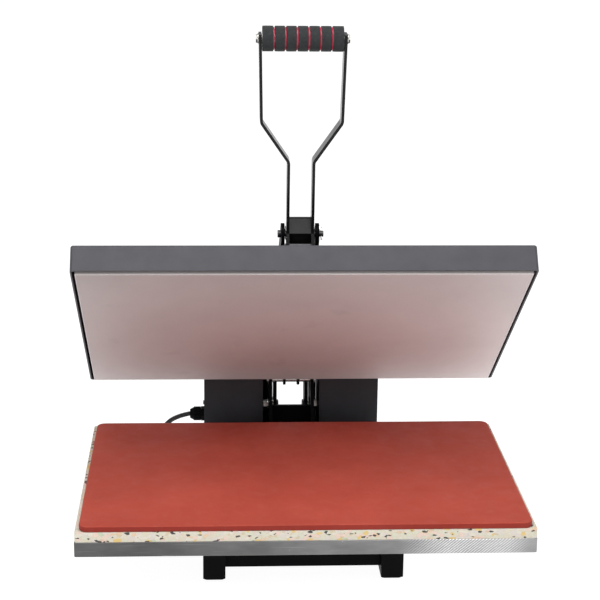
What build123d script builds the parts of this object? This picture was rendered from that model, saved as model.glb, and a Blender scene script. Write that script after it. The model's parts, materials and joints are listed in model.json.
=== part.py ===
from build123d import *
import math
import os

# Flatbed clamshell heat press, millimetres, +Z up, front towards -Y.
# The origin is under the middle of the machine's footprint. The head stands open.

os.makedirs("parts", exist_ok=True)

# ---- driving dimensions -------------------------------------------------------
open_angle = 38.3          # head opening in the stored pose, degrees
hinge_y = 193.0            # main hinge, centre line
hinge_z = 106.0

plate_w = 600.0            # lower plate, foam and heating plate
plate_l = 400.0
plate_front = -300.0
rail_gap = 105.0           # inner face of each rail from the centre plane
rail_w = 30.0
rail_h = 68.0
rail_front = -220.0
rail_rear = 296.0
pad_t = 4.0
cap_t = 4.0
wall = 2.5
tube_corner = 1.5

plate_t = 20.0
foam_t = 14.0
mat_t = 8.0
mat_w = 588.0
mat_l = 390.0

cover_w = 612.0
cover_l = 412.0
cover_h = 37.0
cover_t = 2.0
heater_t = 12.0
head_lift = 8.3            # head's lowest face over the hinge line, head closed

arm_in = 21.5              # inner face of each arm plate
arm_t = 5.0
arm_out = arm_in + arm_t
post_in = 29.5             # inner face of each upright
post_t = 5.0
post_out = post_in + post_t
pivot_r = 6.0

box_in = 43.5              # inner side of each housing
box_out = 134.5
box_front = 160.0
box_rear = 290.0
box_top = 172.0
box_t = 1.5

# linkage, side view: A main hinge, B handle pin, C crank pin, D link pin
pin_b = (-378.0, 120.0)    # B from the hinge along the closed head's axes
pin_d = (168.0, 156.0)     # D in side view, y and z
crank = 34.0
crank_angle = -125.75      # direction from B to C in the stored pose
pin_r = 4.0
eye_play = 3.0             # radial play of the link's front eye
eye_drop = 2.8             # eye's centre below the crank pin in the stored pose
slot_play = 1.5            # room round the link pin in the arm plates' relief slots
lean = 4.0                 # handle's forward lean in the stored pose

bar_t = 4.0
bar_depth = 24.0
fork_low = 15.2            # inner half widths of the fork
fork_mid = 52.9
fork_top = 55.4
bend_low = 105.0           # heights of the fork's bends over the handle pin
bend_high = 160.0
bar_end = 7.0              # length of each bar past the grip bolt
grip_v = 273.0             # grip's centre line over the handle pin
grip_r = 17.0
segment_count = 7
groove = 2.2

run_fit = 0.05             # radial play of a shaft in its hole
still_fit = 0.02           # gap between parts that are fixed to each other

cord_r = 3.5
coil_x = -250.0
coil_y = 244.0
coil_radius = 38.0         # middle of the turns
coil_lift = 1.2

rail_top = pad_t + rail_h
plate_top = rail_top + plate_t
foam_top = plate_top + foam_t
mat_top = foam_top + mat_t

# ---- planes -------------------------------------------------------------------
tilt = math.radians(open_angle)
hinge = (0, hinge_y, hinge_z)
back_dir = (0, math.cos(tilt), -math.sin(tilt))
up_dir = (0, math.sin(tilt), math.cos(tilt))
head_side = Plane(origin=hinge, x_dir=back_dir, z_dir=(1, 0, 0))
head_top = Plane(origin=hinge, x_dir=(1, 0, 0), z_dir=up_dir)
head_rear = Plane(origin=hinge, x_dir=(-1, 0, 0), z_dir=back_dir)

b_y = hinge_y + pin_b[0] * math.cos(tilt) + pin_b[1] * math.sin(tilt)
b_z = hinge_z - pin_b[0] * math.sin(tilt) + pin_b[1] * math.cos(tilt)
c_y = b_y + crank * math.cos(math.radians(crank_angle))
c_z = b_z + crank * math.sin(math.radians(crank_angle))
print("B", round(b_y, 3), round(b_z, 3), "C", round(c_y, 3), round(c_z, 3))

slope = math.radians(lean)
handle_back = (0, math.cos(slope), math.sin(slope))
handle_side = Plane(origin=(0, b_y, b_z), x_dir=handle_back, z_dir=(1, 0, 0))
handle_front = Plane(
    origin=(0, b_y, b_z), x_dir=(1, 0, 0), z_dir=(0, -math.cos(slope), -math.sin(slope))
)
# C in the handle's own side view: back and up from B
c_back = (c_y - b_y) * math.cos(slope) + (c_z - b_z) * math.sin(slope)
c_up = -(c_y - b_y) * math.sin(slope) + (c_z - b_z) * math.cos(slope)


def save(piece, name):
    """Label one finished sub-part and write its STEP file."""
    piece.label = name
    export_step(piece, f"parts/{name}.step")


# ---- base frame ---------------------------------------------------------------
rail_length = rail_rear - rail_front
rail_mid = (rail_rear + rail_front) / 2
rail_z = pad_t + rail_h / 2

for side, name in ((-1, "rail_left"), (1, "rail_right")):
    with BuildPart() as rail:
        with BuildSketch(Plane.XZ.offset(-rail_rear)):
            with Locations((side * (rail_gap + rail_w / 2), rail_z)):
                RectangleRounded(rail_w, rail_h, tube_corner)
                RectangleRounded(rail_w - 2 * wall, rail_h - 2 * wall, 0.8, mode=Mode.SUBTRACT)
        extrude(amount=rail_length)
    save(rail.part, name)

cap_spots = [(side * (rail_gap + rail_w / 2), rail_z) for side in (-1, 1)]
with BuildPart() as rail_end_caps:
    for face_y, outward in ((rail_front, 1), (rail_rear, -1)):
        with BuildSketch(Plane.XZ.offset(-face_y)):
            with Locations(*cap_spots):
                RectangleRounded(rail_w, rail_h, tube_corner)
        extrude(amount=outward * cap_t)
        with BuildSketch(Plane.XZ.offset(-face_y)):
            with Locations(*cap_spots):
                Rectangle(rail_w - 2 * wall - 3, rail_h - 2 * wall - 3)
        extrude(amount=-outward * 9)
save(rail_end_caps.part, "rail_end_caps")

with BuildPart() as rubber_feet:
    with BuildSketch(Plane.XY):
        with Locations((0, rail_mid)):
            with GridLocations(2 * (rail_gap + rail_w / 2), rail_length - 60, 2, 2):
                RectangleRounded(rail_w - 2, 56, 5)
    extrude(amount=pad_t)
save(rubber_feet.part, "rubber_feet")

cross_tubes = (
    ("cross_tube_front", rail_front + 6, rail_front + 36, 16.5),
    ("cross_tube_mid", -30.0, 0.0, 32.0),
)
for name, near, far, low in cross_tubes:
    with BuildPart() as cross_tube:
        with BuildSketch(Plane.YZ.offset(-rail_gap)):
            with Locations(((near + far) / 2, (low + rail_top) / 2)):
                RectangleRounded(far - near, rail_top - low, tube_corner)
                RectangleRounded(far - near - 2 * wall, rail_top - low - 2 * wall, 1, mode=Mode.SUBTRACT)
        extrude(amount=2 * rail_gap)
    save(cross_tube.part, name)

# plate that bridges the rails behind the lower platen and carries the uprights
bridge_front = 112.0
bridge_rear = 286.0
bridge_t = 8.0
foot_y = (132.0, 214.0)
foot_bolt_x = 15.0
foot_bolt_r = 4.0
with BuildPart() as bridge_plate:
    with BuildSketch(Plane.XY.offset(rail_top - bridge_t)):
        with Locations((0, (bridge_front + bridge_rear) / 2)):
            Rectangle(2 * rail_gap, bridge_rear - bridge_front)
    extrude(amount=bridge_t)
    with BuildSketch(Plane.XZ.offset(-bridge_front)):
        with Locations((0, rail_top - bridge_t - 15)):
            Rectangle(2 * rail_gap, 30)
    extrude(amount=-6)
    with Locations(*[(s * foot_bolt_x, y, rail_top) for s in (-1, 1) for y in foot_y]):
        Hole(radius=foot_bolt_r + run_fit, depth=bridge_t)
save(bridge_plate.part, "bridge_plate")

# ---- lower platen, foam and mat -----------------------------------------------
plate_mid = plate_front + plate_l / 2
with BuildPart() as lower_platen:
    with BuildSketch(Plane.XY.offset(rail_top)):
        with Locations((0, plate_mid)):
            RectangleRounded(plate_w, plate_l, 2)
    extrude(amount=plate_t)
    chamfer(lower_platen.edges().group_by(Axis.Z)[-1], 0.8)
    chamfer(lower_platen.edges().group_by(Axis.Z)[0], 0.8)
save(lower_platen.part, "lower_platen")

with BuildPart() as foam_pad:
    with BuildSketch(Plane.XY.offset(plate_top)):
        with Locations((0, plate_mid)):
            RectangleRounded(plate_w - 1, plate_l - 1, 3)
    extrude(amount=foam_t)
save(foam_pad.part, "foam_pad")

mat_mid = plate_front + 0.5 + mat_l / 2
with BuildPart() as silicone_mat:
    with BuildSketch(Plane.XY.offset(foam_top)):
        with Locations((0, mat_mid)):
            RectangleRounded(mat_w, mat_l, 12)
    extrude(amount=mat_t)
    fillet(silicone_mat.edges().group_by(Axis.Z)[-1], 2)
save(silicone_mat.part, "silicone_mat")

# ---- uprights -----------------------------------------------------------------
flange_y = 236.0
post_top = 134.0
foot_in = 4.0              # inner edge of each upright's foot from the centre plane
for side, name in ((-1, "upright_left"), (1, "upright_right")):
    low_x = post_in if side > 0 else -post_out
    with BuildPart() as upright:
        with BuildSketch(Plane.YZ.offset(low_x)):
            with Locations(pin_d):
                Circle(13)
            with Locations((hinge_y, hinge_z)):
                Circle(20)
            with Locations((132, rail_top + 8), (flange_y - 2, rail_top + 8), (flange_y - 4, post_top - 10)):
                Circle(8)
            make_hull()
            with Locations((180, rail_top + 4)):
                Rectangle(112, 8)
        extrude(amount=post_t)
        with Locations(Location((low_x + post_t / 2, hinge_y, hinge_z), (0, 90, 0))):
            Hole(radius=pivot_r + run_fit)
        with Locations(Location((low_x + post_t / 2, pin_d[0], pin_d[1]), (0, 90, 0))):
            Hole(radius=pin_r + run_fit)
        # foot turned inwards under the arm, and rear flange turned outwards
        with BuildSketch(Plane.XY.offset(rail_top)):
            with Locations((side * (post_in + foot_in) / 2, 180)):
                Rectangle(post_in - foot_in, 112)
        extrude(amount=post_t)
        with BuildSketch(Plane.XZ.offset(-flange_y)):
            with Locations((side * (post_out + 3.9), (rail_top + post_top) / 2)):
                Rectangle(8.2, post_top - rail_top)
        extrude(amount=-5)
        with Locations(*[(side * foot_bolt_x, y, rail_top + post_t) for y in foot_y]):
            Hole(radius=foot_bolt_r + run_fit, depth=post_t)
    save(upright.part, name)

with BuildPart() as upright_bolts:
    for spot_x in (-foot_bolt_x, foot_bolt_x):
        for spot_y in foot_y:
            with BuildSketch(Plane.XY.offset(rail_top - bridge_t - 6)):
                with Locations((spot_x, spot_y)):
                    Circle(foot_bolt_r)
            extrude(amount=bridge_t + post_t + 6)
            with BuildSketch(Plane.XY.offset(rail_top + post_t)):
                with Locations((spot_x, spot_y)):
                    RegularPolygon(7.4, 6)
            extrude(amount=5)
save(upright_bolts.part, "upright_bolts")

tie_y = 156.0
tie_top = 117.0
with BuildPart() as tie_plate:
    with BuildSketch(Plane.XZ.offset(-tie_y)):
        with Locations((0, (rail_top + post_t + tie_top) / 2)):
            Rectangle(2 * post_in, tie_top - rail_top - post_t)
    extrude(amount=-6)
save(tie_plate.part, "tie_plate")

# ---- main hinge: one shoulder bolt a side -------------------------------------
nut_r = 8.2
with BuildPart() as pivot_bolts:
    for side in (-1, 1):
        inner = arm_in - 3.1
        outer = post_out + 12.5
        with BuildSketch(Plane.YZ.offset(side * inner)):
            with Locations((hinge_y, hinge_z)):
                RegularPolygon(nut_r, 6)
        extrude(amount=side * 3)
        with BuildSketch(Plane.YZ.offset(side * inner)):
            with Locations((hinge_y, hinge_z)):
                Circle(pivot_r)
        extrude(amount=side * (outer - inner - 4))
save(pivot_bolts.part, "pivot_bolts")

with BuildPart() as pivot_nuts:
    for side in (-1, 1):
        for start, thick, flat in ((post_out + 0.1, 1.8, 0), (post_out + 2, 5.4, 1)):
            with BuildSketch(Plane.YZ.offset(side * start)):
                with Locations((hinge_y, hinge_z)):
                    if flat:
                        RegularPolygon(nut_r, 6)
                    else:
                        Circle(9)
                    Circle(pivot_r + run_fit, mode=Mode.SUBTRACT)
            extrude(amount=side * thick)
        with BuildSketch(Plane.YZ.offset(side * (arm_out + 0.2))):
            with Locations((hinge_y, hinge_z)):
                Circle(12)
                Circle(pivot_r + run_fit, mode=Mode.SUBTRACT)
        extrude(amount=side * (post_in - arm_out - 0.4))
save(pivot_nuts.part, "pivot_nuts")

with BuildPart() as link_pin:
    with BuildSketch(Plane.YZ.offset(-post_out - 3)):
        with Locations(pin_d):
            Circle(pin_r)
    extrude(amount=2 * post_out + 6)
    for side in (-1, 1):
        with BuildSketch(Plane.YZ.offset(side * (post_out + 0.2))):
            with Locations(pin_d):
                Circle(6.5)
        extrude(amount=side * 1.4)
save(link_pin.part, "link_pin")

# ---- housings behind the platen -----------------------------------------------
box_mid = (box_in + box_out) / 2
gland_y = 186.0
gland_z = 94.5
rocker_x = -box_mid
rocker_z = 128.0
rocker_w = 26.0
rocker_h = 20.0
rocker_pivot_y = box_rear - 3.0
stub_r = 1.5
panel_y = 222.0
panel_l = 108.0
button_y = 196.0
button_r = 4.5
button_step = 19.0
button_spots = [(box_mid + k * button_step, button_y) for k in (-1, 0, 1)]
window_y = 240.0
for side, name in ((-1, "power_box"), (1, "control_box")):
    low_x = box_in if side > 0 else -box_out
    with BuildPart() as housing:
        with BuildSketch(Plane.YZ.offset(low_x)):
            with Locations(((box_front + box_rear) / 2, (rail_top + box_top) / 2)):
                Rectangle(box_rear - box_front, box_top - rail_top)
        extrude(amount=box_out - box_in)
        fillet(housing.edges().filter_by(Axis.X).group_by(Axis.Z)[-1], 3)
        offset(amount=-box_t, openings=housing.faces().sort_by(Axis.Z)[0])
        if side < 0:
            with Locations(Location((-box_out, gland_y, gland_z), (0, 90, 0))):
                Hole(radius=8.1, depth=4)
            with BuildSketch(Plane.XZ.offset(-box_rear - 1)):
                with Locations((rocker_x, rocker_z)):
                    Rectangle(rocker_w + 0.2, rocker_h + 0.2)
            extrude(amount=4, mode=Mode.SUBTRACT)
        else:
            with BuildSketch(Plane.XY.offset(box_top - 3)):
                with Locations(*button_spots):
                    Circle(button_r + 1)
                with Locations((box_mid, window_y)):
                    Rectangle(50, 24)
            extrude(amount=4, mode=Mode.SUBTRACT)
    save(housing.part, name)

# fixing screws down the outer faces of both housings
with BuildPart() as box_screws:
    for side in (-1, 1):
        for screw_y in (208.0, 274.0):
            with BuildSketch(Plane.YZ.offset(side * (box_out + 0.02))):
                with Locations((screw_y, 82)):
                    Circle(3.6)
            extrude(amount=side * 2.2)
            fillet(box_screws.edges().filter_by(GeomType.CIRCLE).group_by(Axis.X)[-1 if side > 0 else 0], 1.2)
save(box_screws.part, "box_screws")

with BuildPart() as rocker_frame:
    with BuildSketch(Plane.XZ.offset(-box_rear)):
        with Locations((rocker_x, rocker_z)):
            RectangleRounded(rocker_w + 5, rocker_h + 5, 1.5)
    extrude(amount=-2.2)
    with BuildSketch(Plane.XZ.offset(-box_rear)):
        with Locations((rocker_x, rocker_z)):
            Rectangle(rocker_w, rocker_h)
    extrude(amount=14)
    with BuildSketch(Plane.XZ.offset(-box_rear - 2.2)):
        with Locations((rocker_x, rocker_z)):
            Rectangle(rocker_w - 4, rocker_h - 4)
    extrude(amount=11, mode=Mode.SUBTRACT)
    with BuildSketch(Plane.YZ.offset(rocker_x - rocker_w / 2)):
        with Locations((rocker_pivot_y, rocker_z)):
            Circle(stub_r + run_fit)
    extrude(amount=rocker_w, mode=Mode.SUBTRACT)
save(rocker_frame.part, "rocker_frame")

# rocker: a shallow V whose upper half stands out; it turns about X on two stubs
with BuildPart() as power_rocker:
    with BuildSketch(Plane.YZ.offset(rocker_x - rocker_w / 2 + 2.5)):
        with BuildLine():
            Polyline(
                (rocker_pivot_y - 3, rocker_z - 3),
                (rocker_pivot_y + 5.2, rocker_z - 7.7),
                (rocker_pivot_y + 4.8, rocker_z - 0.7),
                (rocker_pivot_y + 7.2, rocker_z + 6.0),
                (rocker_pivot_y - 3, rocker_z + 3),
                close=True,
            )
        make_face()
    extrude(amount=rocker_w - 5)
    with BuildSketch(Plane.YZ.offset(rocker_x - rocker_w / 2 + 0.2)):
        with Locations((rocker_pivot_y, rocker_z)):
            Circle(stub_r)
    extrude(amount=rocker_w - 0.4)
save(power_rocker.part, "power_rocker")

# cable gland: flanged body through the wall and ribbed dome nut
with BuildPart() as gland_body:
    with BuildSketch(Plane.YZ.offset(-box_out + box_t + 4)):
        with Locations((gland_y, gland_z)):
            Circle(8)
    extrude(amount=-(box_t + 4 + 12))
    with BuildSketch(Plane.YZ.offset(-box_out - 0.02)):
        with Locations((gland_y, gland_z)):
            RegularPolygon(11.5, 6)
    extrude(amount=-5)
    with BuildSketch(Plane.YZ.offset(-box_out + box_t + 0.02)):
        with Locations((gland_y, gland_z)):
            RegularPolygon(11, 6)
    extrude(amount=3.5)
    with Locations(Location((-box_out, gland_y, gland_z), (0, 90, 0))):
        Hole(radius=cord_r + 0.02)
save(gland_body.part, "gland_body")

nut_start = box_out + 5.2
nut_length = 17.0
dome_length = 6.0
with BuildPart() as gland_nut:
    with BuildSketch(Plane.YZ.offset(-nut_start)):
        with Locations((gland_y, gland_z)):
            Circle(10)
            with PolarLocations(10, 16):
                Circle(0.9)
    extrude(amount=-(nut_length - dome_length))
    with BuildSketch(Plane.YZ.offset(-nut_start - nut_length + dome_length)):
        with Locations((gland_y, gland_z)):
            Circle(10)
    extrude(amount=-dome_length, taper=28)
    with Locations(Location((-nut_start - nut_length, gland_y, gland_z), (0, -90, 0))):
        Hole(radius=cord_r + 0.02)
    with BuildSketch(Plane.YZ.offset(-nut_start)):
        with Locations((gland_y, gland_z)):
            Circle(8.1)
    extrude(amount=-(nut_length - dome_length - 2), mode=Mode.SUBTRACT)
save(gland_nut.part, "gland_nut")

with BuildPart() as power_relay:
    with BuildSketch(Plane.XY.offset(rail_top + 2)):
        with Locations((-box_mid, 220)):
            Rectangle(60, 45)
    extrude(amount=28)
    with BuildSketch(Plane.XY.offset(rail_top)):
        with Locations((-box_mid, 220)):
            Rectangle(76, 70)
    extrude(amount=2)
save(power_relay.part, "power_relay")

board_z = box_top - 20
with BuildPart() as control_board:
    with BuildSketch(Plane.XY.offset(board_z)):
        with Locations((box_mid, panel_y)):
            Rectangle(78, 96)
    extrude(amount=1.6)
    with BuildSketch(Plane.XY.offset(board_z + 1.6)):
        with Locations((box_mid, window_y)):
            Rectangle(56, 30)
        with Locations(*button_spots):
            Rectangle(6, 6)
    extrude(amount=6)
    with BuildSketch(Plane.XY.offset(rail_top)):
        with Locations(*[(box_mid + s * 36, panel_y + t * 44) for s in (-1, 1) for t in (-1, 1)]):
            Circle(2.5)
    extrude(amount=board_z - rail_top)
save(control_board.part, "control_board")

with BuildPart() as control_panel:
    with BuildSketch(Plane.XY.offset(box_top + 0.02)):
        with Locations((box_mid, panel_y)):
            RectangleRounded(78, panel_l, 4)
        with Locations((box_mid, window_y)):
            RectangleRounded(56, 30, 2, mode=Mode.SUBTRACT)
        with Locations(*button_spots):
            Circle(button_r + 0.4, mode=Mode.SUBTRACT)
    extrude(amount=1.0)
save(control_panel.part, "control_panel")

with BuildPart() as display_window:
    with BuildSketch(Plane.XY.offset(box_top + 0.02)):
        with Locations((box_mid, window_y)):
            RectangleRounded(55.8, 29.8, 2)
    extrude(amount=1.6)
save(display_window.part, "display_window")

for spot, name in zip(button_spots, ("button_down", "button_set", "button_up")):
    with BuildPart() as button:
        with BuildSketch(Plane.XY.offset(board_z + 10.2)):
            with Locations(spot):
                Circle(button_r)
        extrude(amount=box_top + 2.6 - board_z - 10.2)
        fillet(button.edges().group_by(Axis.Z)[-1], 0.8)
    save(button.part, name)

# ---- mains lead, coil, tie and plug -------------------------------------------
exit_x = -nut_start - nut_length
lead_z = coil_lift + cord_r
route = [
    (exit_x, gland_y, gland_z),
    (exit_x - 24, gland_y + 0.5, gland_z - 5),
    (exit_x - 43, gland_y + 2.5, gland_z - 24),
    (exit_x - 57, gland_y + 4.5, gland_z - 50),
    (exit_x - 74, gland_y + 7, gland_z - 73),
    (coil_x - 2, coil_y - 47.4, lead_z + 2.6),
    (coil_x - 24, coil_y - 38, lead_z),
]


def bend_radii(points):
    """Arc radius at each inner point: 0.45 of the shorter run over tan(half the turn)."""
    radii = []
    for before, here, after in zip(points, points[1:], points[2:]):
        a = Vector(*here) - Vector(*before)
        b = Vector(*after) - Vector(*here)
        half_turn = math.radians(a.get_angle(b)) / 2
        radii.append(0.45 * min(a.length, b.length) / math.tan(half_turn))
    return radii


def tube_along(points, radius, name):
    """A round tube along straight runs joined by tangent arcs."""
    radii = bend_radii(points)
    print(name, "radii", [round(r, 1) for r in radii])
    with BuildPart() as tube:
        with BuildLine():
            path = FilletPolyline(*points, radius=radii)
        with BuildSketch(Plane(path @ 0, z_dir=path % 0)):
            Circle(radius)
        sweep()
    expected = math.pi * radius**2 * path.length
    print(name, "length", round(path.length, 1), "volume share", round(tube.part.volume / expected, 4))
    save(tube.part, name)


tube_along(route, cord_r, "mains_cord")

section_w = 6 * cord_r     # three turns wide, two layers high
section_h = 4 * cord_r
with BuildPart() as cord_coil:
    with BuildSketch(Plane.XZ.offset(-coil_y)):
        with Locations((coil_x + coil_radius, coil_lift + section_h / 2)):
            RectangleRounded(section_w, section_h, 3.2)
    revolve(axis=Axis((coil_x, coil_y, 0), (0, 0, 1)))
save(cord_coil.part, "cord_coil")

tie_angle = 20.0
with BuildPart() as cord_tie:
    tie_plane = Plane(
        origin=(coil_x, coil_y, 0),
        x_dir=(math.cos(math.radians(tie_angle)), math.sin(math.radians(tie_angle)), 0),
        z_dir=(math.sin(math.radians(tie_angle)), -math.cos(math.radians(tie_angle)), 0),
    )
    with BuildSketch(tie_plane.offset(-5)):
        with Locations((coil_radius, coil_lift + section_h / 2)):
            RectangleRounded(section_w + 3.2, section_h + 2.2, 3)
            RectangleRounded(section_w + 1.0, section_h + 0.4, 2, mode=Mode.SUBTRACT)
    extrude(amount=10)
save(cord_tie.part, "cord_tie")

plug_z = 18.5
tail_z = coil_lift + 3 * cord_r
tail = [
    (coil_x - 2, coil_y + coil_radius + 7, tail_z),
    (coil_x + 16, coil_y + coil_radius + 6, tail_z + 1.2),
    (coil_x + 36, coil_y + coil_radius - 2, plug_z - 1.2),
    (coil_x + 52, coil_y + coil_radius - 6, plug_z),
]
tube_along(tail, cord_r, "cord_tail")

tail_end = Vector(*tail[-1])
tail_dir = (Vector(*tail[-1]) - Vector(*tail[-2])).normalized()
flat_dir = Vector(tail_dir.X, tail_dir.Y, 0).normalized()
plug_plane = Plane(origin=tail_end, x_dir=Vector(0, 0, 1), z_dir=flat_dir)
with BuildPart() as plug_body:
    with BuildSketch(plug_plane):
        Circle(5.2)
    with BuildSketch(plug_plane.offset(16)):
        Circle(8.5)
    loft()
    with BuildSketch(plug_plane.offset(16)):
        Circle(8.5)
    with BuildSketch(plug_plane.offset(22)):
        Circle(17.5)
    loft()
    with BuildSketch(plug_plane.offset(22)):
        Circle(17.5)
    extrude(amount=10)
    with BuildSketch(plug_plane.offset(32)):
        Circle(15.5)
    extrude(amount=4)
save(plug_body.part, "plug_body")

with BuildPart() as plug_pins:
    with BuildSketch(plug_plane.offset(36)):
        with Locations((0, -9.5), (0, 9.5)):
            Circle(2.4)
    extrude(amount=17)
save(plug_pins.part, "plug_pins")

# ---- arm ----------------------------------------------------------------------
spindle_u = plate_mid - hinge_y
block_w = (117.0, 135.0)
spacer_spots = [(-334.0, 112.0), (-215.0, 126.0), (-118.0, 126.0)]
spacer_r = 6.0
arm_bend = (-118.0, 116.0)
arm_neck = (-40.0, 78.0)
# the link pin crosses between the uprights, so each arm plate has a curved slot for it
pin_from_hinge = (pin_d[0] - hinge_y, pin_d[1] - hinge_z)
slot_radius = math.hypot(*pin_from_hinge)
slot_start = math.degrees(math.atan2(pin_from_hinge[1], pin_from_hinge[0]))
for side, name in ((-1, "arm_plate_left"), (1, "arm_plate_right")):
    low_x = arm_in if side > 0 else -arm_out
    with BuildPart() as arm_plate:
        with BuildSketch(head_side.offset(low_x)):
            with Locations(pin_b):
                Circle(15)
            with Locations(arm_bend):
                Circle(20)
            make_hull()
        extrude(amount=arm_t)
        with BuildSketch(head_side.offset(low_x)):
            with Locations(arm_bend):
                Circle(20)
            with Locations(arm_neck):
                Circle(22)
            make_hull()
        extrude(amount=arm_t)
        with BuildSketch(head_side.offset(low_x)):
            with Locations(arm_neck):
                Circle(22)
            with Locations((0, 0)):
                Circle(17)
            make_hull()
        extrude(amount=arm_t)
        with BuildSketch(head_side.offset(low_x)):
            Circle(pivot_r + run_fit)
            with Locations(pin_b):
                Circle(pin_r + run_fit)
            with Locations(*spacer_spots, (spindle_u - 12, 126), (spindle_u + 12, 126)):
                Circle(3.05)
            with BuildLine(mode=Mode.PRIVATE) as pin_sweep:
                CenterArc((0, 0), slot_radius, slot_start, open_angle + 12)
            SlotArc(pin_sweep.edge(), 2 * (pin_r + slot_play))
        extrude(amount=arm_t, mode=Mode.SUBTRACT)
    save(arm_plate.part, name)

with BuildPart() as arm_spacers:
    for spot in spacer_spots:
        with BuildSketch(head_side.offset(-arm_in)):
            with Locations(spot):
                Circle(spacer_r)
        extrude(amount=2 * arm_in)
        with BuildSketch(head_side.offset(-arm_out - 3)):
            with Locations(spot):
                Circle(3)
        extrude(amount=2 * arm_out + 6)
        for side in (-1, 1):
            with BuildSketch(head_side.offset(side * (arm_out + 0.02))):
                with Locations(spot):
                    RegularPolygon(5.6, 6)
            extrude(amount=side * 3.6)
save(arm_spacers.part, "arm_spacers")

spindle_r = 7.0
with BuildPart() as spindle_block:
    with BuildSketch(head_side.offset(-arm_in + 0.02)):
        with Locations((spindle_u, sum(block_w) / 2)):
            Rectangle(40, block_w[1] - block_w[0])
    extrude(amount=2 * arm_in - 0.04)
    with BuildSketch(head_top.offset(block_w[0])):
        with Locations((0, spindle_u)):
            Circle(spindle_r + run_fit)
    extrude(amount=block_w[1] - block_w[0], mode=Mode.SUBTRACT)
    for side in (-1, 1):
        for step in (-12, 12):
            with BuildSketch(head_side.offset(side * (arm_in - 0.02))):
                with Locations((spindle_u + step, 126)):
                    Circle(3)
            extrude(amount=side * (arm_t + 0.04))
            with BuildSketch(head_side.offset(side * (arm_out + 0.02))):
                with Locations((spindle_u + step, 126)):
                    Circle(5)
            extrude(amount=side * 3.2)
save(spindle_block.part, "spindle_block")

with BuildPart() as clevis_pin:
    with BuildSketch(head_side.offset(-arm_out - 0.1)):
        with Locations(pin_b):
            Circle(pin_r)
    extrude(amount=2 * arm_out + 6.4)
    with BuildSketch(head_side.offset(-arm_out - 0.1)):
        with Locations(pin_b):
            Circle(5.2)
    extrude(amount=-4.4)
    with BuildSketch(head_top.offset(pin_b[1] - 6)):
        with Locations((arm_out + 3.4, pin_b[0])):
            Circle(1.3)
    extrude(amount=12, mode=Mode.SUBTRACT)
save(clevis_pin.part, "clevis_pin")

with BuildPart() as split_pin:
    with BuildSketch(head_top.offset(pin_b[1] - 9)):
        with Locations((arm_out + 3.4, pin_b[0])):
            Circle(1.2)
    extrude(amount=15)
    ring_at = head_side.offset(arm_out + 3.4)
    with BuildSketch(Plane(origin=ring_at.from_local_coords((pin_b[0], pin_b[1] + 8.4, 0)), z_dir=back_dir)):
        Circle(3.4)
        Circle(1.3, mode=Mode.SUBTRACT)
    extrude(amount=1.1, both=True)
save(split_pin.part, "split_pin")

# ---- head ---------------------------------------------------------------------
heater_low = head_lift
cover_low = head_lift + 3.0
cover_top = cover_low + cover_h
head_u = plate_mid - hinge_y
head_gland_at = (-190.0, (cover_low + cover_top) / 2)

with BuildPart() as heating_platen:
    with BuildSketch(head_top.offset(heater_low)):
        with Locations((0, head_u)):
            RectangleRounded(plate_w, plate_l, 2)
    extrude(amount=heater_t)
    chamfer(heating_platen.faces().sort_by(Axis((0, 0, 0), up_dir))[0].edges(), 1.0)
save(heating_platen.part, "heating_platen")

with BuildPart() as head_cover:
    with BuildSketch(head_top.offset(cover_low)):
        with Locations((0, head_u)):
            RectangleRounded(cover_w, cover_l, 4)
    extrude(amount=cover_h)
    fillet(head_cover.faces().sort_by(Axis((0, 0, 0), up_dir))[-1].edges(), 3)
    with BuildSketch(head_top.offset(cover_low)):
        with Locations((0, head_u)):
            RectangleRounded(cover_w - 2 * cover_t, cover_l - 2 * cover_t, 2)
    extrude(amount=cover_h - cover_t, mode=Mode.SUBTRACT)
    with BuildSketch(head_rear.offset(head_u + cover_l / 2 - 5)):
        with Locations(head_gland_at):
            Circle(6.1)
    extrude(amount=10, mode=Mode.SUBTRACT)
save(head_cover.part, "head_cover")

coil_top = heater_low + heater_t
with BuildPart() as heater_element:
    runs = 5
    pitch_u = 64.0
    half = 262.0
    with BuildSketch(head_top.offset(coil_top + 0.02)):
        for k in range(runs):
            with Locations((0, head_u + (k - (runs - 1) / 2) * pitch_u)):
                Rectangle(2 * half, 8)
        for k in range(runs - 1):
            with Locations(((half - 4) * (1 if k % 2 else -1), head_u + (k - (runs - 2) / 2) * pitch_u)):
                Rectangle(8, pitch_u)
    extrude(amount=6)
save(heater_element.part, "heater_element")

with BuildPart() as insulation:
    with BuildSketch(head_top.offset(coil_top + 6.4)):
        with Locations((0, head_u)):
            RectangleRounded(plate_w - 6, plate_l - 6, 4)
    extrude(amount=cover_top - cover_t - coil_top - 6.8)
save(insulation.part, "insulation")

yoke_in = arm_out + 1.2
yoke_t = 4.0
with BuildPart() as head_yoke:
    with BuildSketch(head_top.offset(cover_top + 0.02)):
        with Locations((0, spindle_u)):
            RectangleRounded(150, 120, 6)
    extrude(amount=5)
    for side in (-1, 1):
        with BuildSketch(head_side.offset(side * yoke_in)):
            with Locations((spindle_u, cover_top + 5)):
                Trapezoid(100, 46, 70, align=(Align.CENTER, Align.MIN))
        extrude(amount=side * yoke_t)
    with BuildSketch(head_top.offset(cover_top + 5.02)):
        with Locations((0, spindle_u)):
            Circle(16)
            Circle(spindle_r + run_fit, mode=Mode.SUBTRACT)
    extrude(amount=4)
    with BuildSketch(head_top.offset(cover_top + 2)):
        with Locations((0, spindle_u)):
            Circle(spindle_r + run_fit)
    extrude(amount=4, mode=Mode.SUBTRACT)
save(head_yoke.part, "head_yoke")

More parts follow.
